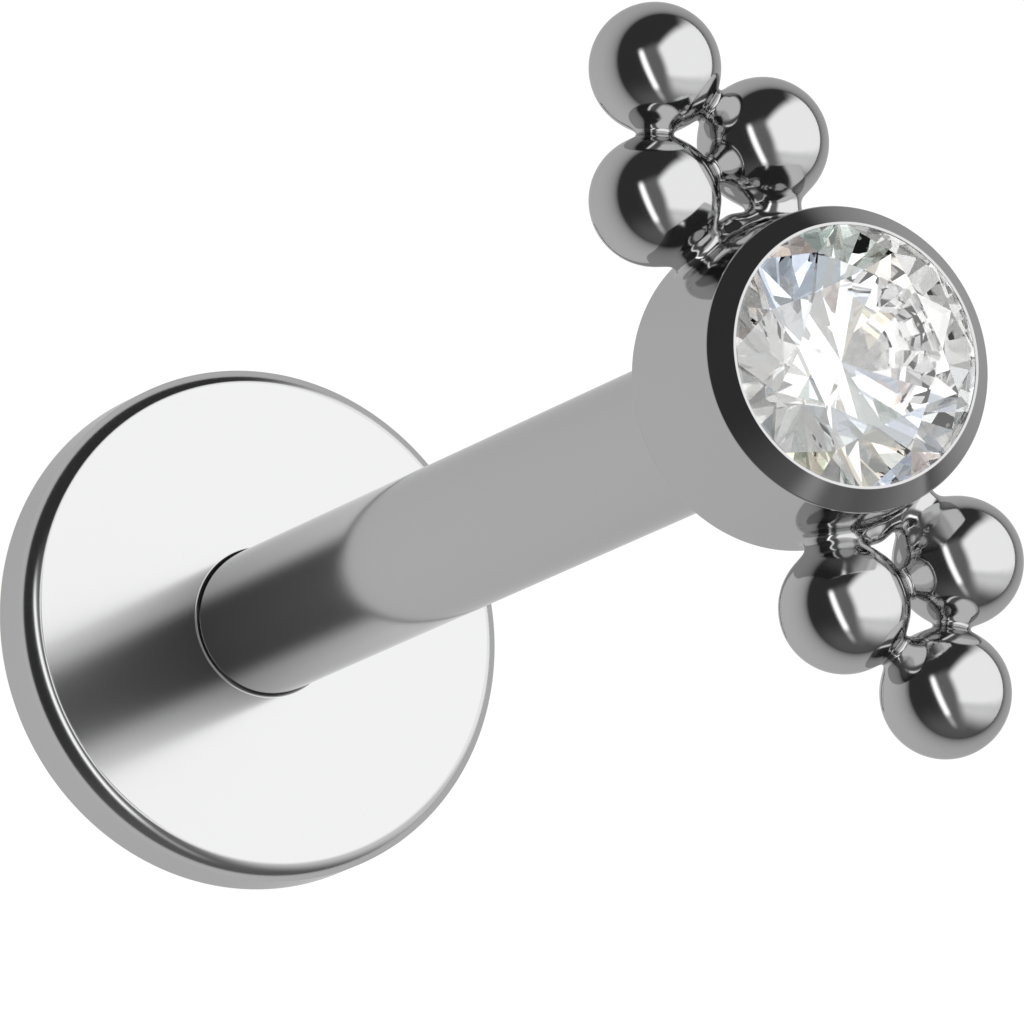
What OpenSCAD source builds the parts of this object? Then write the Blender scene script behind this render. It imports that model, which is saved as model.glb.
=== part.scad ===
// Labret stud with a bezel-set stone between two clusters of three beads.
// Millimetres. The stud stands on its disc: the origin is the middle of the disc's back face,
// +Z runs along the post to the stone, and the two clusters lie along the X axis.

/* [Disc back] */
// Diameter of the flat disc
disc_d = 4.21; // [3:0.01:6]
// Thickness of the disc
disc_t = 0.63; // [0.5:0.01:1.2]
// Radius of the rounded edge round the disc's front face
disc_front_r = 0.22; // [0.05:0.005:0.25]
// Radius of the rounded edge round the disc's back face
disc_back_r = 0.11; // [0.05:0.005:0.2]

/* [Post] */
// Diameter of the post
post_d = 1.2; // [1.1:0.01:1.6]
// Length of the post that shows between the disc and the head
post_len = 9.52; // [7.5:0.01:14]
// Diameter of the blind bore in the post's end
bore_d = 0.86; // [0.8:0.01:0.9]
// Space left between the pin's end and the bore's floor
bore_end_gap = 0.3; // [0.1:0.05:0.5]

/* [Push-fit pin] */
// Radial gap between the head's pin and the post's bore
pin_gap = 0.03; // [0.02:0.005:0.05]
// Length of the pin below the head
pin_len = 6; // [4:0.1:6]
// Chamfer at the pin's end
pin_chamfer = 0.1; // [0.05:0.01:0.15]
// Gap between the post's end and the head that rests on it
head_gap = 0.01; // [0.005:0.005:0.05]

/* [Bezel cup] */
// Diameter of the cup at its base
cup_base_d = 2.49; // [2.44:0.01:2.7]
// Diameter of the cup at its shoulder
cup_top_d = 2.35; // [2.3:0.01:2.48]
// Height of the cup from its base to the outer edge of its lip
cup_h = 1.185; // [1.15:0.005:1.4]
// Radius of the rounding at the shoulder, between the wall and the lip
shoulder_r = 0.035; // [0.02:0.005:0.06]
// Angle that the shoulder turns before it runs into the bevelled lip
shoulder_turn = 46; // [40:1:60]
// Radius of the small rounding at the cup's base
base_r = 0.03; // [0.02:0.005:0.06]
// Height that the bevelled lip rises from its outer edge to its flat land
lip_rise = 0.14; // [0.08:0.005:0.15]
// Width of the narrow flat land inside the bevel
lip_land = 0.02; // [0.015:0.005:0.05]
// Depth of the land's inner edge above the stone
lip_edge = 0.02; // [0.01:0.005:0.03]

/* [Stone] */
// Diameter of the stone at its girdle
stone_d = 2.08; // [1.9:0.01:2.12]
// Width of the ring of girdle that the lip covers
lip_cover = 0.04; // [0.02:0.005:0.05]
// Turn of the stone, so that the table's edges face the clusters
stone_turn = 22.5; // [0:0.5:45]
// Diameter of the flat table, corner to corner
table_d = 1.2; // [1:0.01:1.3]
// Height of the crown above the girdle
crown_h = 0.31; // [0.25:0.01:0.4]
// Thickness of the girdle
girdle_t = 0.05; // [0.03:0.005:0.08]
// Depth of the pavilion below the girdle
pavilion_h = 0.86; // [0.7:0.01:0.88]
// Clearance between the stone and its seat
stone_gap = 0.015; // [0.01:0.001:0.02]
// Distance from the table's middle to each star facet's tip, from table (0) to girdle (1)
star_share = 0.5; // [0.4:0.01:0.6]
// Length of the lower halves, as a share of the way from the girdle to the culet
lower_share = 0.78; // [0.7:0.01:0.85]

/* [Beads] */
// Diameter of each bead
bead_d = 1; // [0.8:0.01:1.05]
// Gap between the two beads that stand beside the cup
pair_gap = 0.05; // [0.03:0.01:0.1]
// Gap between the outer bead and each of the pair
outer_gap = 0.025; // [0.02:0.005:0.1]
// Gap between the cup's wall and the beads beside it
wall_gap = 0.075; // [0.04:0.005:0.1]
// Height of the beads' centres above the cup's base
bead_level = 0.42; // [0.36:0.01:0.5]
// Turn of each cluster about its own middle, which brings both outer beads towards +Y
cluster_turn = 3; // [0:0.5:5]
// Diameter of the solder necks between the beads
neck_d = 0.28; // [0.2:0.01:0.4]
// Diameter of the solder necks at the cup
wall_neck_d = 0.42; // [0.2:0.01:0.5]

/* [Hidden] */
$fn = 96;

post_top = disc_t + post_len;
bore_depth = pin_len + bore_end_gap;
cup_z = post_top + head_gap;
pin_d = bore_d - 2 * pin_gap;

// The lip: its outer edge ends the shoulder, its inner edge holds the stone's girdle
lip_out_r = cup_top_d / 2 - shoulder_r * (1 - cos(shoulder_turn));
lip_in_r = stone_d / 2 - lip_cover;
lip_z = cup_z + cup_h;
lip_top_z = lip_z + lip_rise;

// The stone's girdle lies just below the lip's inner edge
crown_slope = crown_h / (stone_d - table_d) * 2;
girdle_z = lip_top_z - lip_edge - lip_cover * crown_slope - stone_gap;
girdle_low_z = girdle_z - girdle_t;
culet_z = girdle_low_z - pavilion_h;

// The beads' centres before each cluster is turned: a pair beside the cup and one outside them
bead_r = bead_d / 2;
bead_z = cup_z + bead_level;
wall_slope = (cup_base_d - cup_top_d) / 2 / cup_h;
wall_r_at_bead = cup_base_d / 2 - bead_level * wall_slope;
pair_y = (bead_d + pair_gap) / 2;
pair_reach = wall_r_at_bead + wall_gap + bead_r;
pair_x = sqrt(pair_reach * pair_reach - pair_y * pair_y);
outer_x = pair_x + sqrt(pow(bead_d + outer_gap, 2) - pair_y * pair_y);
cluster_x = (2 * pair_x + outer_x) / 3;
neck_root = (cup_base_d / 2 - stone_d / 2) / 3;

// Points of an arc round [x, y] from angle a to angle b
function arc_points(x, y, r, a, b, steps = 8) =
    [for (i = [0:steps]) let (t = a + (b - a) * i / steps) [x + r * cos(t), y + r * sin(t)]];

// A point at radius r, height z and azimuth a
function ring_point(r, a, z) = [r * cos(a), r * sin(a), z];

// Profile of the disc with its two rounded edges
module disc_profile() {
    disc_r = disc_d / 2;
    polygon(concat(
        [[0, 0]],
        arc_points(disc_r - disc_back_r, disc_back_r, disc_back_r, -90, 0),
        arc_points(disc_r - disc_front_r, disc_t - disc_front_r, disc_front_r, 0, 90),
        [[0, disc_t]]));
}

// Disc and post are turned from one bar, and the post's end is bored for the head's pin
module labret_post() {
    color("silver")
    difference() {
        union() {
            rotate_extrude() disc_profile();
            cylinder(h = post_top, d = post_d);
        }
        translate([0, 0, post_top - bore_depth]) cylinder(h = bore_depth + 1, d = bore_d);
    }
}

// Profile of the bezel cup: slightly tapered wall, rounded shoulder, bevelled lip, seat and pocket
module cup_profile() {
    seat_r = stone_d / 2 + stone_gap;
    pocket_slope = stone_d / 2 / pavilion_h;
    pocket_low_z = culet_z - 2 * stone_gap;
    wall_top_z = lip_z - shoulder_r * sin(shoulder_turn);
    polygon(concat(
        [[0, cup_z]],
        arc_points(cup_base_d / 2 - base_r, cup_z + base_r, base_r, -90, 0, 4),
        arc_points(cup_top_d / 2 - shoulder_r, wall_top_z, shoulder_r, 0, shoulder_turn, 5),
        [
            [lip_in_r + lip_land, lip_top_z],
            [lip_in_r, lip_top_z],
            [lip_in_r, lip_top_z - lip_edge],
            [seat_r, girdle_z + stone_gap],
            [seat_r, girdle_low_z - stone_gap],
            [2 * stone_gap * pocket_slope, pocket_low_z],
            [0, pocket_low_z]
        ]));
}

// The plain pin that pushes into the post, with a small chamfer at its end
module push_pin() {
    translate([0, 0, cup_z - pin_len]) {
        cylinder(h = pin_chamfer, d1 = pin_d - 2 * pin_chamfer, d2 = pin_d);
        translate([0, 0, pin_chamfer]) cylinder(h = pin_len - pin_chamfer + base_r, d = pin_d);
    }
}

// A point [x, y] turned with its cluster
function in_cluster(x, y) = let (c = cos(cluster_turn), s = sin(cluster_turn))
    [cluster_x + (x - cluster_x) * c - y * s, (x - cluster_x) * s + y * c];

// A round solder neck of diameter d from one point to another at the beads' height
module solder_neck(from, to, d) {
    run = to - from;
    translate([from.x, from.y, bead_z])
    rotate([0, 90, atan2(run.y, run.x)])
    cylinder(h = norm(run), d = d);
}

// Three soldered beads on the cup's +X side
module bead_cluster() {
    pair = [for (side = [-1, 1]) in_cluster(pair_x, side * pair_y)];
    outer = in_cluster(outer_x, 0);
    for (centre = concat(pair, [outer])) {
        translate([centre.x, centre.y, bead_z]) sphere(d = bead_d);
    }
    solder_neck(pair[0], pair[1], neck_d);
    for (centre = pair) {
        root = centre * (wall_r_at_bead - neck_root) / norm(centre);
        solder_neck(centre, outer, neck_d);
        solder_neck(root, centre, wall_neck_d);
    }
}

// Bezel cup, pin and both clusters, soldered into one solid
module setting() {
    color("lightgray") {
        rotate_extrude() cup_profile();
        push_pin();
        for (side = [0, 1]) mirror([side, 0, 0]) bead_cluster();
    }
}

// Round brilliant: eight-sided table, eight star and eight kite facets, sixteen upper and
// sixteen lower halves, and eight pavilion mains that meet in a point
module stone() {
    girdle_r = stone_d / 2;
    table_r = table_d / 2;
    star_r = table_r + (girdle_r - table_r) * star_share;
    lower_r = girdle_r * (1 - lower_share);
    top_z = girdle_z + crown_h;
    // The star tips and the lower junctions lie in the planes of the main facets beside them
    star_z = girdle_z + crown_h * (girdle_r - star_r * cos(22.5)) / (girdle_r - table_r);
    lower_z = girdle_low_z - pavilion_h * (girdle_r - lower_r * cos(22.5)) / girdle_r;
    points = concat(
        [for (i = [0:7]) ring_point(table_r, i * 45, top_z)],
        [for (i = [0:7]) ring_point(star_r, i * 45 + 22.5, star_z)],
        [for (i = [0:15]) ring_point(girdle_r, i * 22.5, girdle_z)],
        [for (i = [0:15]) ring_point(girdle_r, i * 22.5, girdle_low_z)],
        [for (i = [0:7]) ring_point(lower_r, i * 45 + 22.5, lower_z)],
        [[0, 0, culet_z]]);
    // First index of each ring of points: star tips, girdle top, girdle low, lower junctions, culet
    s = 8;
    g = 16;
    l = 32;
    w = 48;
    culet = 56;
    faces = concat(
        [[for (i = [7:-1:0]) i]],
        [for (i = [0:7]) [i, (i + 1) % 8, s + i]],
        [for (i = [0:7]) [i, s + i, g + 2 * i, s + (i + 7) % 8]],
        [for (i = [0:7]) [s + i, g + 2 * i + 1, g + 2 * i]],
        [for (i = [0:7]) [s + i, g + (2 * i + 2) % 16, g + 2 * i + 1]],
        [for (j = [0:15]) [g + j, g + (j + 1) % 16, l + (j + 1) % 16, l + j]],
        [for (i = [0:7]) [l + 2 * i, l + 2 * i + 1, w + i]],
        [for (i = [0:7]) [l + 2 * i + 1, l + (2 * i + 2) % 16, w + i]],
        [for (i = [0:7]) [l + 2 * i, w + i, culet, w + (i + 7) % 8]]);
    color("white") rotate([0, 0, stone_turn]) polyhedron(points, faces);
}

labret_post();
setting();
stone();
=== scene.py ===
"""Finished surfaces of a labret stud: a disc and post turned from one bar, a bezel cup with two
clusters of soldered beads, and a cut stone. Lengths are metres: the stud stands on its disc at the
origin, +Z runs along the post, and the clusters lie along the X axis.
"""

import math

import bpy
import numpy as np
from bpy.props import FloatProperty, FloatVectorProperty, PointerProperty
from mathutils import Matrix, Vector


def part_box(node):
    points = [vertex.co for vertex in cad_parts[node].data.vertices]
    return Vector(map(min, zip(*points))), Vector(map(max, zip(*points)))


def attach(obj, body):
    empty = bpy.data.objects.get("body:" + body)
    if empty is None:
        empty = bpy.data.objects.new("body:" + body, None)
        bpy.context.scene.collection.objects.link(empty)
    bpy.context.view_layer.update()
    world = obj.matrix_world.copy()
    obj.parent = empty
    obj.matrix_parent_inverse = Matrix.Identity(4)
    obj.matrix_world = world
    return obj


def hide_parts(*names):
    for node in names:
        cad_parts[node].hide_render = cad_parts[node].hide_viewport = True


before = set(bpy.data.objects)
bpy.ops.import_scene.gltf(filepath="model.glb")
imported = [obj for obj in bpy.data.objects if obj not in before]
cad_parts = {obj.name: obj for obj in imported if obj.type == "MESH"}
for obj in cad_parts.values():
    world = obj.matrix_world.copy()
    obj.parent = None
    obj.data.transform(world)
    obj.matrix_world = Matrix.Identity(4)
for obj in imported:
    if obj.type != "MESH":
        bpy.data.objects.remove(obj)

bl_info = {
    "name": "Labret Stud",
    "version": (1, 0, 0),
    "blender": (4, 5, 0),
    "location": "3D View > Sidebar > Labret Stud",
    "description": "Builds the finished surfaces of a labret stud round its fixed frame",
    "category": "Object",
}

MM = 0.001
SECTORS = 192               # steps of a turned surface round its axis
ON_AXIS = 1e-6 * MM         # a profile point nearer to the axis than this is a pole
IN_PLANE = 0.001 * MM       # a face nearer to a plane than this lies in it
SLOPE_STEP = 0.0005 * MM    # step to either side over which a field's slope is taken
NET_ROUNDS = 6              # slides of a net's points towards its surface
FAR = 40                    # distance, in softnesses, past which a smooth joint doesn't change
POCKET_DEPTH = 0.1 * MM     # how far under the stone's point the seat's steel reaches
POST_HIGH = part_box("labret_post")[1]
SETTING_LOW, SETTING_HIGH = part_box("setting")
STONE_LOW, STONE_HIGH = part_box("stone")


def length(name, millimetres, note):
    """A length property in metres, whose default is given in millimetres."""
    return FloatProperty(
        name=name, description=note, default=millimetres * MM, precision=6, unit="LENGTH"
    )


def angle(name, degrees, note):
    """An angle property in radians, whose default is given in degrees."""
    return FloatProperty(
        name=name, description=note, default=math.radians(degrees), precision=4, unit="ROTATION"
    )


def level(name, value, note):
    """A plain number property, such as a roughness or a brightness."""
    return FloatProperty(name=name, description=note, default=value, min=0, precision=4)


def colour(name, value, note):
    """A linear colour property."""
    return FloatVectorProperty(
        name=name, description=note, default=value, size=3, min=0, max=1, subtype="COLOR"
    )


class PostSizes(bpy.types.PropertyGroup):
    """Sizes of the disc and its post."""

    disc_radius: length("Disc radius", POST_HIGH.x / MM, "From the post's axis to the disc's edge")
    disc_thickness: length("Disc thickness", 0.63, "From the disc's back face to its front face")
    front_edge: length("Front edge", 0.14, "Width of the softened edge round the front face")
    edge_soft: length("Edge softness", 0.065, "Radius at both ends of that edge, flatter between")
    edge_turn: angle("Edge turn", 30, "Angle of the tight arc at each end of that edge")
    foot_fillet: length("Foot fillet", 0.025, "Radius of the fillet round the post's foot")
    back_round: length("Back rounding", 0.11, "Radius of the edge round the back face")
    post_radius: length("Post radius", 0.6, "Radius of the post")
    post_top: length("Post top", POST_HIGH.z / MM, "Height of the post's end above the back face")
    end_break: length("End break", 0.03, "Small chamfer at the post's end and at the bore's mouth")
    bore_radius: length("Bore radius", 0.43, "Radius of the blind bore")
    bore_depth: length("Bore depth", 6.3, "Depth of the blind bore")


class CupSizes(bpy.types.PropertyGroup):
    """Sizes of the bezel cup and its pin."""

    base_z: length("Base height", 10.16, "Height of the cup's underside")
    base_radius: length("Base radius", SETTING_HIGH.y / MM, "Radius of the wall at its foot")
    top_radius: length("Top radius", 1.175, "Radius of the wall at its shoulder")
    base_round: length("Base rounding", 0.03, "Radius of the rounding at the wall's foot")
    shoulder_round: length("Shoulder rounding", 0.035, "Radius between the wall and the bevel")
    shoulder_turn: angle("Shoulder turn", 46, "Angle of the arc between the wall and the bevel")
    lip_top: length("Lip top", SETTING_HIGH.z / MM, "Height of the lip's flat land")
    lip_rise: length("Lip rise", 0.14, "Height from the bevel's outer edge to the land")
    lip_land: length("Lip land", 0.02, "Width of the narrow flat land inside the bevel")
    lip_edge: length("Lip edge", 0.02, "Depth of the land's inner edge above the stone")
    lip_inner: length("Lip inner radius", 1.0, "Radius of the opening that shows the stone")
    seat_radius: length("Seat radius", 1.055, "Radius of the seat round the stone's girdle")
    pin_radius: length("Pin radius", 0.4, "Radius of the push-fit pin")
    pin_end: length("Pin end", SETTING_LOW.z / MM, "Height of the pin's lower end")
    pin_chamfer: length("Pin chamfer", 0.1, "Chamfer at the pin's end")
    pin_root: length("Pin root", 0.02, "Radius of the fillet between the pin and the cup")


class BeadSizes(bpy.types.PropertyGroup):
    """Sizes of the bead clusters."""

    radius: length("Bead radius", 0.5, "Radius of each bead")
    level: length("Bead level", 0.42, "Height of the beads' centres above the cup's underside")
    pair_gap: length("Pair gap", 0.05, "Gap between the two beads beside the cup")
    outer_gap: length("Outer gap", 0.025, "Gap between the outer bead and each of the pair")
    wall_gap: length("Wall gap", 0.075, "Gap between the cup's wall and the beads beside it")
    turn: angle("Cluster turn", 3, "Turn of each cluster, which brings its outer bead towards +Y")
    bead_rod: length("Bead rod radius", 0.11, "Radius of the core of the solder between two beads")
    seam_rod: length("Seam rod radius", 0.12, "Radius of the core of the solder along the cup's wall")
    wall_rod: length("Wall rod radius", 0.2, "Radius of the core of the solder at the cup")
    softness: length("Solder softness", 0.03, "How widely the solder flows round each joint")
    sink: length("Sink", 0.002, "How far the solder's edge dips under the cup's surface")
    shell_depth: length("Shell depth", 0.12, "How deep the solder's hidden back lies in the cup's wall")
    shell_width: length("Shell half width", 0.9, "Half the width of that back across the cup")
    shell_height: length("Shell half height", 0.36, "Half the height of that back")
    shell_margin: length("Shell margin", 0.11, "How far the grid goes on inside that back's corners")
    grid_step: length("Grid step", 0.018, "Size of the grid that the soldered surface is taken from")


class StoneSizes(bpy.types.PropertyGroup):
    """Sizes of the cut stone."""

    girdle_radius: length("Girdle radius", STONE_HIGH.x / MM, "Radius at the stone's widest ring")
    table_radius: length("Table radius", 0.6, "Radius of the flat table, to its corners")
    table_z: length("Table height", STONE_HIGH.z / MM, "Height of the flat table")
    crown: length("Crown height", 0.31, "Height of the crown above the girdle")
    girdle: length("Girdle thickness", 0.05, "Thickness of the girdle")
    culet_z: length("Culet height", STONE_LOW.z / MM, "Height of the point below")
    star_share: level("Star share", 0.5, "Reach of the star facets, from table (0) to girdle (1)")
    lower_share: level("Lower share", 0.78, "Reach of the lower halves, from girdle (0) to culet (1)")
    turn: FloatProperty(name="Turn", description="Turn of the facets in degrees", default=22.5)


class SteelFinish(bpy.types.PropertyGroup):
    """Finish of the polished steel, with painted shade on the post's foot and painted light on the
    disc's face and on the seat.
    """

    tone: colour("Steel colour", (0.55, 0.55, 0.553), "Reflected colour of the polished steel")
    edge_tone: level("Edge tone", 0.76, "Share of a mirror's gain at grazing angles that is kept")
    roughness: level("Roughness", 0.08, "Roughness of the polish")
    haze: level("Haze", 0.02, "How much the polish varies over the surface")
    mark_depth: length("Mark depth", 0.00002, "Depth of the finest polishing marks")
    # Painted shade: the post's colour darkens towards its foot.
    foot_shade_share: level("Foot share", 0.55, "Share of the post's colour that is left at its foot")
    foot_shade_height: length("Foot height", 2.8, "Height over which the post's colour rises to its own")
    # Painted light: the disc's face is a lighter copy of the same steel, which brightens its reflection.
    face_lit_tone: colour("Face colour", (0.62, 0.62, 0.623), "Reflected colour of the disc's flat face")
    face_roughness: level("Face roughness", 0.11, "Roughness of that face and of the stone's seat")
    edge_roughness: level("Edge roughness", 0.14, "Roughness of the disc's edge and back")
    # Painted light: the seat under the stone is a near-white copy of the steel that glows, though it is
    # no lamp.
    seat_lit_tone: colour("Seat colour", (0.92, 0.92, 0.92), "Reflected colour of the seat under the stone")
    seat_painted_glow: level("Seat glow", 0.34, "Even light of the seat, for what it gathers under the stone")


class StoneFinish(bpy.types.PropertyGroup):
    """Finish of the cut stone, with the painted shade of its crown."""

    refraction: level("Refractive index", 2.16, "Refractive index of cubic zirconia")
    tone: colour("Stone colour", (1.0, 1.0, 0.995), "Colour of the light that passes through")
    # Painted shade: the crown's plain facets are darker than the stone's own colour.
    crown_shade_tone: colour("Crown colour", (0.44, 0.44, 0.43), "What the crown's plain facets let through")


class Studio(bpy.types.PropertyGroup):
    """Camera, floor and lights."""

    tilt: angle("Tilt", 27.537, "Angle between the post's axis and the line of sight")
    lean: angle("Lean", 24.336, "Direction in which the post leans, from the picture's right")
    spin: angle("Spin", 90.69, "Turn of the stud about its post")
    distance: length("Distance", 115.6, "From the camera to the cup's rim, along the line of sight")
    aim_right: length("Aim right", 2.5213, "How far right of the picture's middle the rim lies")
    aim_up: length("Aim up", 1.0991, "How far above the picture's middle the rim lies")
    aim_height: length("Aim height", 11.357, "Height of the rim's centre above the floor")
    lens: FloatProperty(name="Lens", description="Focal length in mm", default=543.2, min=50)
    floor_radius: length("Floor radius", 300, "Radius of the pale floor")
    floor_glow: level("Floor glow", 0.727, "Light that the floor's middle gives by itself")
    floor_fade: length("Floor fade", 84, "Distance over which its light falls to about a third")
    floor_tone: level("Floor tone", 0.05, "Share of the studio's light that the floor returns")
    dark: level("Dark", 0.044, "Brightness of the unlit studio")
    shade: level("Shaded wall", 0.145, "Brightness of the grey wall at -X")
    wall: level("Side wall", 0.98, "Brightness of the pale wall between -X and -Y")
    front: level("Front wall", 0.93, "Brightness of the low pale wall at -Y")
    ceiling: level("Ceiling", 0.188, "Brightness of the ceiling between the lights")
    softbox: level("Softbox", 1.43, "Brightness of the softbox from -Y to overhead")
    strip: level("Strip light", 2.31, "Brightness of the narrow strip light under the camera")
    strip_tail: level("Strip tail", 0.7, "Brightness of the strip light's dim end")
    stone_share: level("Stone share", 0.8, "Share of the studio's light that the stone passes on")
    stone_fill: level("Stone fill", 0.37, "Even light added to what the stone passes on")


# Light panels, painted in this order over the dark studio. A panel is anchored at an azimuth and a
# height above the horizon. From there it reaches across, towards a growing azimuth, and up, towards
# the zenith and past it. Its sides fade in over the widths in soft. All are angles in degrees.
PANELS = (
    dict(name="shade", azimuth=165, height=10, across=(-50, 50), up=(-20, 30), soft=(60, 45)),
    dict(name="ceiling", azimuth=90, height=65, across=(-38, 75), up=(-12, 25), soft=(16, 10)),
    dict(name="wall", azimuth=265, height=50, across=(-62, -30), up=(-57, 50), soft=(30, 20)),
    dict(name="front", azimuth=260, height=5, across=(-40, 40), up=(-12, 20), soft=(25, 8)),
    dict(name="softbox", azimuth=265, height=50, across=(-36, 40), up=(-57, 50), soft=(14, 14)),
    dict(name="strip_tail", azimuth=88, height=49, across=(30, 62), up=(-5, 4), soft=(20, 8)),
    dict(name="strip", azimuth=88, height=49, across=(-36, 36), up=(-4, 4), soft=(14, 8)),
)


# Numbers of the crown's kites and upper halves among the stone's facets, which get painted shade.
CROWN = range(9, 33)

# Tints of the facets that paint the coloured glints of the stone's fire, by the number of the facet.
PAINTED_FIRE = {
    1: (0.9, 0.95, 1.0),
    7: (1.0, 0.95, 0.85),
    8: (0.64, 0.76, 0.9),
    9: (0.56, 0.68, 0.9),
    12: (0.85, 0.76, 0.6),
    16: (0.7, 0.82, 0.76),
    19: (1.0, 0.88, 0.62),
    20: (0.76, 0.86, 1.0),
    24: (0.4, 0.55, 0.49),
    28: (0.85, 0.68, 0.62),
    32: (0.6, 0.5, 0.47),
}


def straight(start, end):
    """Straight strip of a profile. Both ends carry the normal to the right of the run, which is the
    outside of a profile that is followed from its lower pole to its upper pole."""
    run = np.subtract(end, start)
    normal = np.array([run[1], -run[0]]) / np.hypot(run[0], run[1])
    return np.array([start, end], float), np.array([normal, normal])


def rounded(centre, radius, start, end, steps):
    """Round strip of a profile: centre + radius (cos t, sin t) for t from start to end in degrees. Its
    normals are the rays from the centre, turned inwards on a hollow rounding, where t falls."""
    turn = np.radians(np.linspace(start, end, steps + 1))
    rays = np.column_stack([np.cos(turn), np.sin(turn)])
    return np.asarray(centre) + radius * rays, rays * (1 if end > start else -1)


def polyline(*points):
    """Straight strips that join the given points of a profile."""
    return [straight(a, b) for a, b in zip(points, points[1:])]


def turned(strips):
    """Surface of revolution about Z. A profile point (r, z) becomes the ring (r cos a, r sin a, z) and
    its normal turns with it, so flat faces and roundings shade exactly. Points on the axis are single
    vertices. Returns the points, the faces and the normals of the faces' corners."""
    profile = np.concatenate([strips[0][0][:1]] + [points[1:] for points, _ in strips])
    starts = np.concatenate([normals[:-1] for _, normals in strips])
    ends = np.concatenate([normals[1:] for _, normals in strips])
    turn = 2 * np.pi * np.arange(SECTORS) / SECTORS
    on_axis = profile[:, 0] < ON_AXIS
    keep = np.ones((len(profile), SECTORS), bool)
    keep[on_axis, 1:] = False
    index = np.cumsum(keep).reshape(keep.shape) - 1
    radius, height = profile[:, :1], profile[:, 1:]
    grid = np.stack(
        [radius * np.cos(turn), radius * np.sin(turn), np.repeat(height, SECTORS, 1)], axis=-1
    )

    def turned_normals(flat, at):
        """Profile normals carried round the axis to the angles in at."""
        across, along = flat[:, :1], flat[:, 1:]
        return np.stack(
            [across * np.cos(at), across * np.sin(at), np.repeat(along, len(at), 1)], axis=-1
        )

    following = np.roll(index, -1, axis=1)
    corners = np.stack([index[:-1], following[:-1], following[1:], index[1:]], axis=-1)
    next_turn = turn + 2 * np.pi / SECTORS
    normals = np.stack(
        [
            turned_normals(starts, turn),
            turned_normals(starts, next_turn),
            turned_normals(ends, next_turn),
            turned_normals(ends, turn),
        ],
        axis=2,
    )
    low_pole, high_pole = on_axis[:-1], on_axis[1:]
    band = ~low_pole & ~high_pole
    faces, corner_normals = [], []
    for rows, used in ((band, [0, 1, 2, 3]), (low_pole, [0, 2, 3]), (high_pole, [0, 1, 2])):
        faces += corners[rows][..., used].reshape(-1, len(used)).tolist()
        corner_normals += normals[rows][..., used, :].reshape(-1, 3).tolist()
    return grid[keep].tolist(), faces, corner_normals


def surface_net(field, low, high, step):
    """Mesh of the surface where field is zero, inside the box from low to high. Each cube of a grid
    that the surface crosses holds one point, which slides along the field's slope until it lies on the
    surface. Each grid line that crosses the surface gives the face between the four cubes round it.
    Returns the points, the faces and the normals at the points, which are the field's slope."""
    sides = [np.arange(start, end + step, step) for start, end in zip(low, high)]
    grid = np.stack(np.meshgrid(*sides, indexing="ij"), axis=-1)
    inside = field(grid) < 0
    halves = (slice(None, -1), slice(1, None))
    corners = [inside[a, b, c] for a in halves for b in halves for c in halves]
    crossed = np.any(corners, axis=0) & ~np.all(corners, axis=0)
    index = np.cumsum(crossed).reshape(crossed.shape) - 1

    def slope(points):
        """Slope of the field, from its change over a small step to either side."""
        ways = SLOPE_STEP * np.eye(3)
        changes = [field(points + way) - field(points - way) for way in ways]
        return np.stack(changes, axis=-1) / (2 * SLOPE_STEP)

    points = grid[:-1, :-1, :-1][crossed] + step / 2
    for _ in range(NET_ROUNDS):
        way = slope(points)
        points -= way * (field(points) / np.sum(way**2, axis=-1))[:, None]
    faces = []
    for first in range(3):
        order = (first, (first + 1) % 3, (first + 2) % 3)
        solid, cube = np.transpose(inside, order), np.transpose(index, order)
        here, ahead = solid[:-1, 1:-1, 1:-1], solid[1:, 1:-1, 1:-1]
        around = [cube[:, :-1, :-1], cube[:, 1:, :-1], cube[:, 1:, 1:], cube[:, :-1, 1:]]
        around = np.stack(around, axis=-1)
        faces += [around[here & ~ahead], around[~here & ahead][:, ::-1]]
    normals = slope(points)
    normals /= np.linalg.norm(normals, axis=-1, keepdims=True)
    return points, np.concatenate(faces), normals


def new_object(name, mesh):
    """Links a mesh as an object at the origin."""
    piece = bpy.data.objects.new(name, mesh)
    bpy.context.scene.collection.objects.link(piece)
    return piece


def turned_piece(name, strips):
    """Mesh object turned from a profile, keeping the exact normal of every corner."""
    points, faces, normals = turned(strips)
    mesh = bpy.data.meshes.new(name)
    mesh.from_pydata(points, [], faces)
    mesh.shade_smooth()
    mesh.normals_split_custom_set(normals)
    return new_object(name, mesh)


def dress(piece, material, body, node):
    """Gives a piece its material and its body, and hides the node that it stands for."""
    piece.data.materials.append(material)
    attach(piece, body)
    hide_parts(node)


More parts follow.
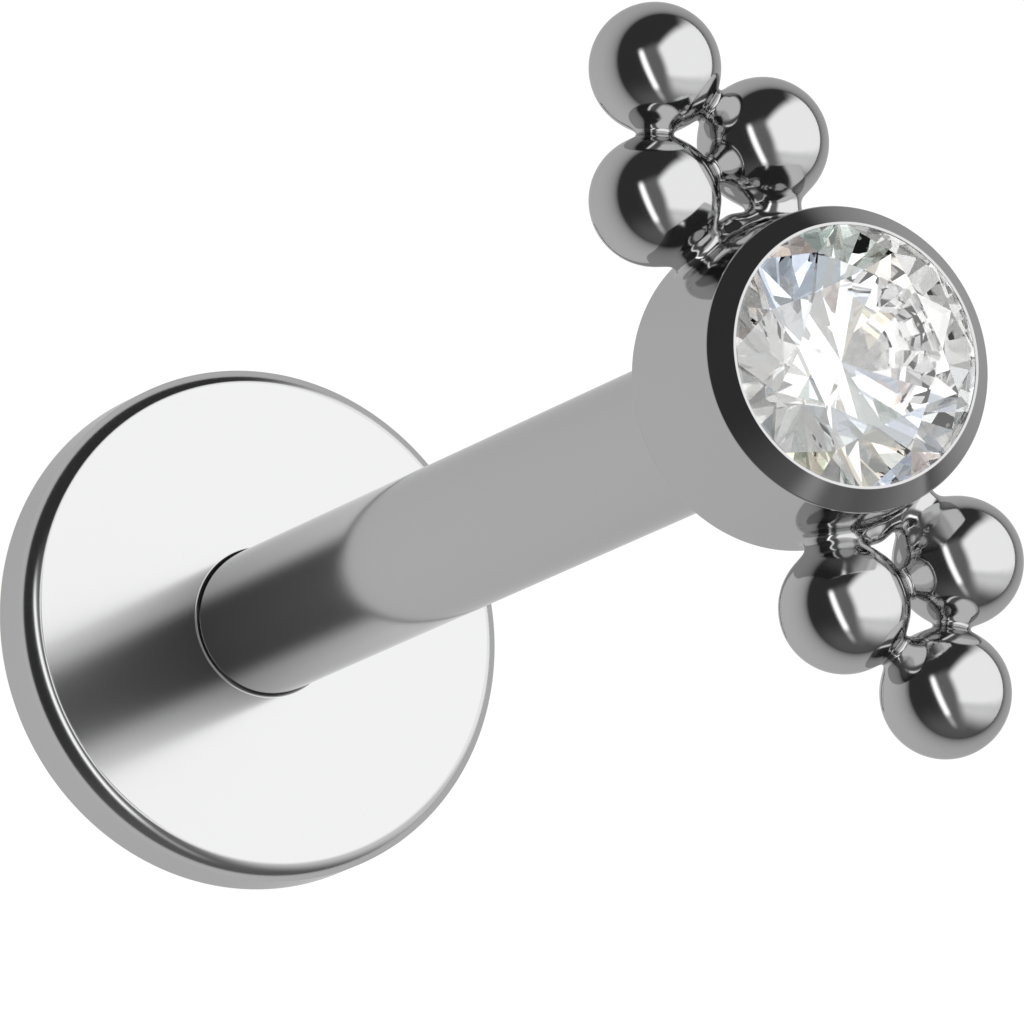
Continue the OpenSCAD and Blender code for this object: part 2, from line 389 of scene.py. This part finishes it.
def post_strips(size):
    """Profile of disc, post and blind bore, from the back face's middle to the bore's floor. The disc's
    front edge is a flat arc between two tight ones. With their radii f and s and the angle t of a
    tight arc, it is s + (f - s) (cos t - sin t) wide."""
    rim, front = size.disc_radius, size.disc_thickness
    top, cut, bore = size.post_top, size.end_break, size.bore_radius
    back_centre = (rim - size.back_round, size.back_round)
    soft, wide = size.edge_soft, size.front_edge
    start = np.array([math.cos(size.edge_turn), math.sin(size.edge_turn)])
    end = start[::-1]
    flat = soft + (wide - soft) / (start[0] - end[0])
    low = np.array([rim - soft, front - wide])
    middle = low + (soft - flat) * start
    high = middle + (flat - soft) * end
    turn = math.degrees(size.edge_turn)
    fillet = size.foot_fillet
    foot = size.post_radius + fillet
    strips = polyline((0, 0), (back_centre[0], 0))
    strips.append(rounded(back_centre, size.back_round, -90, 0, 16))
    strips += polyline((rim, back_centre[1]), (rim, low[1]))
    strips.append(rounded(low, soft, 0, turn, 6))
    strips.append(rounded(middle, flat, turn, 90 - turn, 10))
    strips.append(rounded(high, soft, 90 - turn, 90, 6))
    strips += polyline((high[0], front), (foot, front))
    strips.append(rounded((foot, front + fillet), fillet, 270, 180, 8))
    strips += polyline(
        (size.post_radius, front + fillet),
        (size.post_radius, top - cut),
        (size.post_radius - cut, top),
        (bore + cut, top),
        (bore, top - cut),
        (bore, top - size.bore_depth),
        (0, top - size.bore_depth),
    )
    return strips


def cup_strips(size, stone):
    """Profile of pin, cup, lip, seat and pocket, from the pin's end to the pocket's floor."""
    base, pin = size.base_z, size.pin_radius
    lip_z = size.lip_top - size.lip_rise
    gap = size.seat_radius - stone.girdle_radius
    girdle_z = stone.table_z - stone.crown
    low_z = girdle_z - stone.girdle
    slope = stone.girdle_radius / (low_z - stone.culet_z)
    strips = polyline(
        (0, size.pin_end),
        (pin - size.pin_chamfer, size.pin_end),
        (pin, size.pin_end + size.pin_chamfer),
        (pin, base - size.pin_root),
    )
    strips.append(rounded((pin + size.pin_root, base - size.pin_root), size.pin_root, 180, 90, 6))
    foot = (size.base_radius - size.base_round, base + size.base_round)
    strips += polyline((pin + size.pin_root, base), (foot[0], base))
    strips.append(rounded(foot, size.base_round, -90, 0, 8))
    wall_top = lip_z - size.shoulder_round * math.sin(size.shoulder_turn)
    shoulder = (size.top_radius - size.shoulder_round, wall_top)
    strips += polyline((size.base_radius, foot[1]), (size.top_radius, wall_top))
    strips.append(rounded(shoulder, size.shoulder_round, 0, math.degrees(size.shoulder_turn), 10))
    strips += polyline(
        tuple(strips[-1][0][-1]),
        (size.lip_inner + size.lip_land, size.lip_top),
        (size.lip_inner, size.lip_top),
        (size.lip_inner, size.lip_top - size.lip_edge),
        (size.seat_radius, girdle_z + gap),
        (size.seat_radius, low_z - gap),
        (2 * gap * slope, stone.culet_z - 2 * gap),
        (0, stone.culet_z - 2 * gap),
    )
    return strips


def bead_places(bead, cup, side):
    """Centres of the pair beside the cup and of the bead outside them, and the wall's radius at their
    height. Before the turn the pair stand at one distance from the cup, with the outer bead behind
    them. The cluster turns about its own middle, and the one at -X mirrors the one at +X."""
    height = cup.base_z + bead.level
    lip_z = cup.lip_top - cup.lip_rise
    wall = cup.base_radius - bead.level / (lip_z - cup.base_z) * (cup.base_radius - cup.top_radius)
    pair_y = bead.radius + bead.pair_gap / 2
    pair_x = math.sqrt((wall + bead.wall_gap + bead.radius) ** 2 - pair_y**2)
    outer_x = pair_x + math.sqrt((2 * bead.radius + bead.outer_gap) ** 2 - pair_y**2)
    middle = Vector(((2 * pair_x + outer_x) / 3, 0, height))
    turn = Matrix.Rotation(bead.turn, 3, "Z")
    places = [Vector((x, y, height)) for x, y in ((pair_x, -pair_y), (pair_x, pair_y), (outer_x, 0))]
    places = [middle + turn @ (place - middle) for place in places]
    for place in places:
        place.x *= side
    return places[:2], places[2], wall


def rod_distance(points, start, end, radius):
    """Distance of points to a round-ended rod."""
    run = end - start
    share = np.clip((points - start) @ run / (run @ run), 0, 1)
    return np.linalg.norm(points - start - share[..., None] * run, axis=-1) - radius


def cluster_mesh(bead, cup, side):
    """Three beads and their solder as one smooth surface on the side of +X (1) or -X (-1). With the
    distances d to the beads, to the cores of the solder and to the cup's wall, and the softness k,
    the surface lies where -k log(sum of exp(-d / k)) is zero, so the solder flows into every joint.
    The solder's hidden back follows the cup's wall and closes inside it."""
    pair, outer, wall = bead_places(bead, cup, side)
    centres = [np.array(centre) for centre in pair + [outer]]
    lean = (cup.top_radius - cup.base_radius) / (cup.lip_top - cup.lip_rise - cup.base_z)
    level = cup.base_z + bead.level

    def on_wall(place):
        """The point of the cup's wall beside a place."""
        root = place * (wall / math.hypot(place[0], place[1]))
        root[2] = level
        return root

    roots = [on_wall(centre) for centre in centres[:2]]
    seam = on_wall(roots[0] + roots[1])

    def field(points):
        """Smooth distance to the soldered cluster."""
        parts = [np.linalg.norm(points - centre, axis=-1) - bead.radius for centre in centres]
        for one, other in ((0, 1), (0, 2), (1, 2)):
            parts.append(rod_distance(points, centres[one], centres[other], bead.bead_rod))
        for root, centre in zip(roots, centres):
            parts.append(rod_distance(points, root, centre, bead.wall_rod))
            parts.append(rod_distance(points, root, seam, bead.seam_rod))
        out = np.hypot(points[..., 0], points[..., 1]) - wall - lean * (points[..., 2] - level)
        shell = [
            out + bead.sink,
            -out - bead.shell_depth,
            np.abs(points[..., 1]) - bead.shell_width,
            np.abs(points[..., 2] - level) - bead.shell_height,
            -side * points[..., 0],
        ]
        parts.append(np.max(shell, axis=0))
        total = sum(np.exp(-np.clip(part / bead.softness, -FAR, FAR)) for part in parts)
        return -bead.softness * np.log(total)

    margin = 3 * bead.grid_step
    reach = bead.radius + margin
    places = np.array(centres)
    low, high = places.min(axis=0) - reach, places.max(axis=0) + reach
    corner = math.sqrt((wall - bead.shell_depth) ** 2 - bead.shell_width**2)
    inner = side * (corner - bead.shell_margin)
    low[0], high[0] = (inner, high[0]) if side > 0 else (low[0], inner)
    return surface_net(field, low, high, bead.grid_step)


def ring(radius, height, turn, count):
    """Points at equal steps round the axis, the first at the angle turn in degrees."""
    at = np.radians(turn) + 2 * np.pi * np.arange(count) / count
    return np.column_stack([radius * np.cos(at), radius * np.sin(at), np.full(count, height)])


def brilliant(size):
    """Round brilliant: an eight-sided table, eight stars and kites, sixteen upper and sixteen lower
    halves and eight mains. The star tips and the lower junctions lie in the planes of the facets
    beside them: a point at radius r of a main facet that climbs h from radius g to radius t has the
    height h (g - r cos 22.5) / (g - t)."""
    wide, narrow = size.girdle_radius, size.table_radius
    girdle_z = size.table_z - size.crown
    low_z = girdle_z - size.girdle
    depth = low_z - size.culet_z
    half = 180 / 8
    step = math.cos(math.radians(half))
    star = narrow + (wide - narrow) * size.star_share
    lower = wide * (1 - size.lower_share)
    points = np.concatenate([
        ring(narrow, size.table_z, size.turn, 8),
        ring(star, girdle_z + size.crown * (wide - star * step) / (wide - narrow), size.turn + half, 8),
        ring(wide, girdle_z, size.turn, 16),
        ring(wide, low_z, size.turn, 16),
        ring(lower, low_z - depth * (wide - lower * step) / wide, size.turn + half, 8),
        [[0, 0, size.culet_z]],
    ])
    # Number of each ring's first point, after the table's eight points.
    stars, girdle, low, lows, culet = 8, 16, 32, 48, 56
    here, each = np.arange(8), np.arange(16)
    ahead, behind, even, odd = (here + 1) % 8, (here + 7) % 8, 2 * here, 2 * here + 1
    next_even, following = (2 * here + 2) % 16, (each + 1) % 16
    groups = [
        [here, stars + here, ahead],
        [here, stars + behind, girdle + even, stars + here],
        [stars + here, girdle + even, girdle + odd],
        [stars + here, girdle + odd, girdle + next_even],
        [girdle + each, low + each, low + following, girdle + following],
        [low + even, lows + here, low + odd],
        [low + odd, lows + here, low + next_even],
        [low + even, lows + behind, np.full(8, culet), lows + here],
    ]
    faces = [here.tolist()]
    for group in groups:
        faces += np.column_stack(group).tolist()
    return points, faces


def polish_group():
    """Node group of a polished metal: a slow haze for the roughness, and the height of fine marks,
    both from noise on the object's own coordinates."""
    tree = bpy.data.node_groups.new("polish", "ShaderNodeTree")
    starts = {"Haze scale": 900.0, "Mark scale": 14000.0, "Roughness": 0.05, "Haze": 0.02}
    for name, start in starts.items():
        socket = tree.interface.new_socket(name, in_out="INPUT", socket_type="NodeSocketFloat")
        socket.default_value = start
    tree.interface.new_socket("Roughness", in_out="OUTPUT", socket_type="NodeSocketFloat")
    tree.interface.new_socket("Marks", in_out="OUTPUT", socket_type="NodeSocketFloat")
    nodes, links = tree.nodes, tree.links
    given = nodes.new("NodeGroupInput")
    made = nodes.new("NodeGroupOutput")
    place = nodes.new("ShaderNodeTexCoord")
    haze = nodes.new("ShaderNodeTexNoise")
    haze.inputs["Detail"].default_value = 4.0
    marks = nodes.new("ShaderNodeTexNoise")
    marks.inputs["Detail"].default_value = 2.0
    spread = nodes.new("ShaderNodeMath")
    spread.operation = "MULTIPLY_ADD"
    links.new(place.outputs["Object"], haze.inputs["Vector"])
    links.new(place.outputs["Object"], marks.inputs["Vector"])
    links.new(given.outputs["Haze scale"], haze.inputs["Scale"])
    links.new(given.outputs["Mark scale"], marks.inputs["Scale"])
    links.new(haze.outputs["Fac"], spread.inputs[0])
    links.new(given.outputs["Haze"], spread.inputs[1])
    links.new(given.outputs["Roughness"], spread.inputs[2])
    links.new(spread.outputs["Value"], made.inputs["Roughness"])
    links.new(marks.outputs["Fac"], made.inputs["Marks"])
    return tree


def empty_material(name):
    """New material with only a Principled shader and its output."""
    material = bpy.data.materials.new(name)
    material.use_nodes = True
    return material, material.node_tree, material.node_tree.nodes["Principled BSDF"]


def steel_material(name, finish, roughness, tone=None):
    """Polished steel, with the shared polish group for its haze and its finest marks."""
    material, tree, shader = empty_material(name)
    shader.inputs["Base Color"].default_value = (*(tone or finish.tone), 1)
    shader.inputs["Metallic"].default_value = 1.0
    shader.inputs["Specular Tint"].default_value = (finish.edge_tone,) * 3 + (1,)
    group = bpy.data.node_groups.get("polish") or polish_group()
    polish = tree.nodes.new("ShaderNodeGroup")
    polish.node_tree = group
    polish.inputs["Roughness"].default_value = roughness
    polish.inputs["Haze"].default_value = finish.haze
    bump = tree.nodes.new("ShaderNodeBump")
    bump.inputs["Distance"].default_value = finish.mark_depth
    tree.links.new(polish.outputs["Roughness"], shader.inputs["Roughness"])
    tree.links.new(polish.outputs["Marks"], bump.inputs["Height"])
    tree.links.new(bump.outputs["Normal"], shader.inputs["Normal"])
    return material


def paint_foot_shade(material, finish, size):
    """Paints shade on the post towards its foot: the colour's share rises from the foot's to one over
    the lowest part of the post."""
    nodes, links = material.node_tree.nodes, material.node_tree.links
    place = nodes.new("ShaderNodeTexCoord")
    parts = nodes.new("ShaderNodeSeparateXYZ")
    share = nodes.new("ShaderNodeMapRange")
    share.inputs["From Min"].default_value = size.disc_thickness
    share.inputs["From Max"].default_value = size.disc_thickness + finish.foot_shade_height
    share.inputs["To Min"].default_value = finish.foot_shade_share
    share.inputs["To Max"].default_value = 1.0
    tone = nodes.new("ShaderNodeVectorMath")
    tone.operation = "SCALE"
    tone.inputs[0].default_value = finish.tone
    links.new(place.outputs["Object"], parts.inputs[0])
    links.new(parts.outputs["Z"], share.inputs["Value"])
    links.new(share.outputs["Result"], tone.inputs["Scale"])
    links.new(tone.outputs["Vector"], nodes["Principled BSDF"].inputs["Base Color"])


def stone_material(finish):
    """Clear cubic zirconia. Its attribute holds each facet's colour, painted shade and glints among
    them.
    """
    material, tree, shader = empty_material("clear stone")
    facet_colour_and_painted_light = tree.nodes.new("ShaderNodeAttribute")
    facet_colour_and_painted_light.attribute_name = "facet_colour_and_painted_light"
    tree.links.new(facet_colour_and_painted_light.outputs["Color"], shader.inputs["Base Color"])
    shader.inputs["Roughness"].default_value = 0.0
    shader.inputs["IOR"].default_value = finish.refraction
    shader.inputs["Transmission Weight"].default_value = 1.0
    return material


def panel_sides(panel):
    """The four sides of a panel, each as the unit vector that points into it and the width over which
    it fades in. With the anchor's direction m and the direction w that a pair of sides lies along, the
    side at the angle t has the vector w cos t - m sin t, turned round for the far one of the pair."""
    turn, rise = math.radians(panel["azimuth"]), math.radians(panel["height"])
    flat = Vector((math.cos(turn), math.sin(turn), 0))
    anchor = flat * math.cos(rise) + Vector((0, 0, math.sin(rise)))
    ahead = Vector((-flat.y, flat.x, 0))
    sides = []
    pairs = zip((ahead, anchor.cross(ahead)), (panel["across"], panel["up"]), panel["soft"])
    for way, reach, soft in pairs:
        for reached, sign in zip(map(math.radians, reach), (1, -1)):
            inwards = sign * (way * math.cos(reached) - anchor * math.sin(reached))
            sides.append((inwards, math.radians(soft)))
    return sides


def panel_group():
    """Node group that paints one light panel over what is under it: the mask of the four sides is
    the product of smooth steps of the view's share along each side."""
    tree = bpy.data.node_groups.new("light panel", "ShaderNodeTree")
    for name, kind in (("Direction", "Vector"), ("Under", "Float"), ("Light", "Float")):
        tree.interface.new_socket(name, in_out="INPUT", socket_type=f"NodeSocket{kind}")
    for side in range(4):
        tree.interface.new_socket(f"Side {side}", in_out="INPUT", socket_type="NodeSocketVector")
    tree.interface.new_socket("Light", in_out="OUTPUT", socket_type="NodeSocketFloat")
    nodes, links = tree.nodes, tree.links
    given = nodes.new("NodeGroupInput")
    made = nodes.new("NodeGroupOutput")
    mask = None
    for side in range(4):
        dot = nodes.new("ShaderNodeVectorMath")
        dot.operation = "DOT_PRODUCT"
        step = nodes.new("ShaderNodeMapRange")
        step.interpolation_type = "SMOOTHSTEP"
        step.inputs["From Min"].default_value = -0.5
        step.inputs["From Max"].default_value = 0.5
        links.new(given.outputs["Direction"], dot.inputs[0])
        links.new(given.outputs[f"Side {side}"], dot.inputs[1])
        links.new(dot.outputs["Value"], step.inputs["Value"])
        if mask is None:
            mask = step.outputs["Result"]
        else:
            both = nodes.new("ShaderNodeMath")
            both.operation = "MULTIPLY"
            links.new(mask, both.inputs[0])
            links.new(step.outputs["Result"], both.inputs[1])
            mask = both.outputs["Value"]
    mix = nodes.new("ShaderNodeMix")
    mix.data_type = "FLOAT"
    links.new(mask, mix.inputs["Factor"])
    links.new(given.outputs["Under"], mix.inputs["A"])
    links.new(given.outputs["Light"], mix.inputs["B"])
    links.new(mix.outputs["Result"], made.inputs["Light"])
    return tree


def light_studio(studio):
    """World of the studio: the panels, painted in order, light and reflect in the stud. What the
    camera sees past the floor is plain white."""
    world = bpy.data.worlds.new("studio")
    bpy.context.scene.world = world
    world.use_nodes = True
    world.cycles.sampling_method = "NONE"
    nodes, links = world.node_tree.nodes, world.node_tree.links
    nodes.clear()
    view = nodes.new("ShaderNodeTexCoord")
    group = panel_group()
    under = None
    for row in PANELS:
        panel = nodes.new("ShaderNodeGroup")
        panel.node_tree = group
        panel.label = row["name"]
        panel.inputs["Light"].default_value = getattr(studio, row["name"])
        for side, (inwards, soft) in enumerate(panel_sides(row)):
            panel.inputs[f"Side {side}"].default_value = inwards / soft
        links.new(view.outputs["Generated"], panel.inputs["Direction"])
        if under is None:
            panel.inputs["Under"].default_value = studio.dark
        else:
            links.new(under, panel.inputs["Under"])
        under = panel.outputs["Light"]
    path = nodes.new("ShaderNodeLightPath")
    fill = nodes.new("ShaderNodeMath")
    fill.operation = "MULTIPLY_ADD"
    fill.inputs[1].default_value = studio.stone_share
    fill.inputs[2].default_value = studio.stone_fill
    links.new(under, fill.inputs[0])
    filled = nodes.new("ShaderNodeMix")
    filled.data_type = "FLOAT"
    links.new(path.outputs["Is Transmission Ray"], filled.inputs["Factor"])
    links.new(under, filled.inputs["A"])
    links.new(fill.outputs["Value"], filled.inputs["B"])
    lights = nodes.new("ShaderNodeBackground")
    links.new(filled.outputs["Result"], lights.inputs["Color"])
    backdrop = nodes.new("ShaderNodeBackground")
    backdrop.inputs["Color"].default_value = (1, 1, 1, 1)
    mix = nodes.new("ShaderNodeMixShader")
    links.new(path.outputs["Is Camera Ray"], mix.inputs["Fac"])
    links.new(lights.outputs["Background"], mix.inputs[1])
    links.new(backdrop.outputs["Background"], mix.inputs[2])
    output = nodes.new("ShaderNodeOutputWorld")
    links.new(mix.outputs["Shader"], output.inputs["Surface"])


def lay_floor(studio):
    """Round pale floor just under the disc. Its glow falls off as exp(-distance / fade), and as it gives
    most of its light by itself, shadows stay faint. The camera itself sees it white."""
    below = -0.002 * MM
    sides = 128
    points = ring(studio.floor_radius, below, 0, sides)
    mesh = bpy.data.meshes.new("floor")
    mesh.from_pydata(points.tolist(), [], [list(range(sides))])
    floor = new_object("floor", mesh)
    material, tree, shader = empty_material("pale floor")
    shader.inputs["Base Color"].default_value = (studio.floor_tone,) * 3 + (1,)
    shader.inputs["Roughness"].default_value = 1.0
    shader.inputs["Specular IOR Level"].default_value = 0.0
    shader.inputs["Emission Color"].default_value = (1, 1, 1, 1)
    place = tree.nodes.new("ShaderNodeTexCoord")
    away = tree.nodes.new("ShaderNodeVectorMath")
    away.operation = "LENGTH"
    share = tree.nodes.new("ShaderNodeMath")
    share.operation = "DIVIDE"
    share.inputs[1].default_value = -studio.floor_fade
    fall = tree.nodes.new("ShaderNodeMath")
    fall.operation = "EXPONENT"
    glow = tree.nodes.new("ShaderNodeMath")
    glow.operation = "MULTIPLY"
    glow.inputs[1].default_value = studio.floor_glow
    tree.links.new(place.outputs["Object"], away.inputs[0])
    tree.links.new(away.outputs["Value"], share.inputs[0])
    tree.links.new(share.outputs["Value"], fall.inputs[0])
    tree.links.new(fall.outputs["Value"], glow.inputs[0])
    path = tree.nodes.new("ShaderNodeLightPath")
    seen = tree.nodes.new("ShaderNodeMath")
    seen.operation = "MAXIMUM"
    tree.links.new(glow.outputs["Value"], seen.inputs[0])
    tree.links.new(path.outputs["Is Camera Ray"], seen.inputs[1])
    tree.links.new(seen.outputs["Value"], shader.inputs["Emission Strength"])
    mesh.materials.append(material)


def set_camera(studio):
    """Camera at the photo's angle: the stud is turned by spin about its post, tipped by tilt away
    from the line of sight and leant by lean in the picture."""
    turn = (
        Matrix.Rotation(studio.lean, 3, "Z")
        @ Matrix.Rotation(studio.tilt, 3, "Y")
        @ Matrix.Rotation(studio.spin, 3, "Z")
    )
    right, up, back = turn
    data = bpy.data.cameras.new("camera")
    data.sensor_width = 36
    data.lens = studio.lens
    data.clip_start = 0.01
    data.clip_end = 10
    camera = bpy.data.objects.new("camera", data)
    bpy.context.scene.collection.objects.link(camera)
    rim = Vector((0, 0, studio.aim_height))
    place = rim - right * studio.aim_right - up * studio.aim_up + back * studio.distance
    camera.matrix_world = Matrix.Translation(place) @ turn.transposed().to_4x4()
    bpy.context.scene.camera = camera


class LABRET_OT_stage(bpy.types.Operator):
    """Makes the camera, the floor and the studio's lights"""

    bl_idname = "labret.stage"
    bl_label = "Set the stage"

    def execute(self, context):
        studio = context.scene.labret_studio
        set_camera(studio)
        light_studio(studio)
        lay_floor(studio)
        context.scene.view_settings.view_transform = "Standard"
        cycles = context.scene.cycles
        cycles.max_bounces = 20
        cycles.glossy_bounces = 10
        cycles.transmission_bounces = 14
        return {"FINISHED"}


class LABRET_OT_post(bpy.types.Operator):
    """Turns the disc and its post, bored for the pin"""

    bl_idname = "labret.post"
    bl_label = "Turn the post and disc"

    def execute(self, context):
        size, finish = context.scene.labret_post, context.scene.labret_steel
        piece = turned_piece("post_and_disc", post_strips(size))
        polished = steel_material("post steel", finish, finish.roughness)
        # Lighter copy of the steel on the disc's face: painted brighter reflection.
        front = steel_material("lit disc face steel", finish, finish.face_roughness, finish.face_lit_tone)
        edge = steel_material("disc steel", finish, finish.edge_roughness)
        # The post's foot gets painted shade.
        paint_foot_shade(polished, finish, size)
        dress(piece, polished, "post", "labret_post")
        piece.data.materials.append(front)
        piece.data.materials.append(edge)
        for face in piece.data.polygons:
            above = face.center.z - size.disc_thickness
            if abs(above) < IN_PLANE:
                face.material_index = 1
            elif above < 0 and face.center.xy.length > size.post_radius:
                face.material_index = 2
        return {"FINISHED"}


class LABRET_OT_cup(bpy.types.Operator):
    """Turns the bezel cup with its lip, seat and pin"""

    bl_idname = "labret.cup"
    bl_label = "Turn the cup"

    def execute(self, context):
        scene = context.scene
        cup, stone, finish = scene.labret_cup, scene.labret_stone, scene.labret_steel
        piece = turned_piece("bezel_cup", cup_strips(cup, stone))
        polished = steel_material("cup steel", finish, finish.roughness)
        seat = steel_material("glowing seat steel", finish, finish.face_roughness, finish.seat_lit_tone)
        # The seat glows: painted light seen through the stone.
        shader = seat.node_tree.nodes["Principled BSDF"]
        shader.inputs["Emission Color"].default_value = (1, 1, 1, 1)
        shader.inputs["Emission Strength"].default_value = finish.seat_painted_glow
        dress(piece, polished, "head", "setting")
        piece.data.materials.append(seat)
        low, high = stone.culet_z - POCKET_DEPTH, cup.lip_top - cup.lip_edge
        for face in piece.data.polygons:
            inwards = face.normal.x * face.center.x + face.normal.y * face.center.y < 0
            face.material_index = int(inwards and low < face.center.z < high)
        return {"FINISHED"}


class LABRET_OT_beads(bpy.types.Operator):
    """Solders the two clusters of three beads to the cup"""

    bl_idname = "labret.beads"
    bl_label = "Solder the beads"

    def execute(self, context):
        scene = context.scene
        finish = scene.labret_steel
        material = steel_material("bead steel", finish, finish.roughness)
        for name, side in (("bead_cluster_right", 1), ("bead_cluster_left", -1)):
            points, faces, normals = cluster_mesh(scene.labret_beads, scene.labret_cup, side)
            mesh = bpy.data.meshes.new(name)
            mesh.from_pydata(points.tolist(), [], faces.tolist())
            mesh.shade_smooth()
            mesh.normals_split_custom_set_from_vertices(normals.tolist())
            dress(new_object(name, mesh), material, "head", "setting")
        return {"FINISHED"}


class LABRET_OT_stone(bpy.types.Operator):
    """Cuts the round brilliant and sets it in the cup"""

    bl_idname = "labret.stone"
    bl_label = "Set the stone"

    def execute(self, context):
        gem = context.scene.labret_gem
        points, faces = brilliant(context.scene.labret_stone)
        mesh = bpy.data.meshes.new("cut_stone")
        mesh.from_pydata(points.tolist(), [], faces)
        # Each facet's colour: the stone's own, with painted shade and painted coloured glints on some.
        facet_colour_and_painted_light = mesh.attributes.new("facet_colour_and_painted_light", "FLOAT_COLOR", "FACE")
        for index in range(len(faces)):
            # The crown's plain facets get painted shade, the others the stone's own colour.
            plain = gem.crown_shade_tone if index in CROWN else gem.tone
            facet_colour_and_painted_light.data[index].color = (*PAINTED_FIRE.get(index, plain), 1)
        dress(new_object("cut_stone", mesh), stone_material(gem), "head", "stone")
        return {"FINISHED"}


class LABRET_PT_panel(bpy.types.Panel):
    """Lists the steps and the sizes that they use"""

    bl_label = "Labret Stud"
    bl_idname = "LABRET_PT_panel"
    bl_space_type = "VIEW_3D"
    bl_region_type = "UI"
    bl_category = "Labret Stud"

    def draw(self, context):
        for step in STEPS:
            self.layout.operator(step.bl_idname)
        for name in GROUPS:
            box = self.layout.box()
            group = getattr(context.scene, name)
            for field in group.bl_rna.properties:
                if field.identifier not in ("rna_type", "name"):
                    box.prop(group, field.identifier)


STEPS = (LABRET_OT_stage, LABRET_OT_post, LABRET_OT_cup, LABRET_OT_beads, LABRET_OT_stone)
GROUPS = {
    "labret_post": PostSizes,
    "labret_cup": CupSizes,
    "labret_beads": BeadSizes,
    "labret_stone": StoneSizes,
    "labret_steel": SteelFinish,
    "labret_gem": StoneFinish,
    "labret_studio": Studio,
}


def register():
    """Registers the property groups, the operators and the panel."""
    for name, group in GROUPS.items():
        bpy.utils.register_class(group)
        setattr(bpy.types.Scene, name, PointerProperty(type=group))
    for step in STEPS:
        bpy.utils.register_class(step)
    bpy.utils.register_class(LABRET_PT_panel)


def unregister():
    """Takes back what register added."""
    bpy.utils.unregister_class(LABRET_PT_panel)
    for step in reversed(STEPS):
        bpy.utils.unregister_class(step)
    for name, group in GROUPS.items():
        delattr(bpy.types.Scene, name)
        bpy.utils.unregister_class(group)


def main():
    """Builds the stud step by step."""
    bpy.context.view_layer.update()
    register()
    bpy.ops.labret.stage()
    bpy.ops.labret.post()
    bpy.ops.labret.cup()
    bpy.ops.labret.beads()
    bpy.ops.labret.stone()


if __name__ == "__main__":
    main()
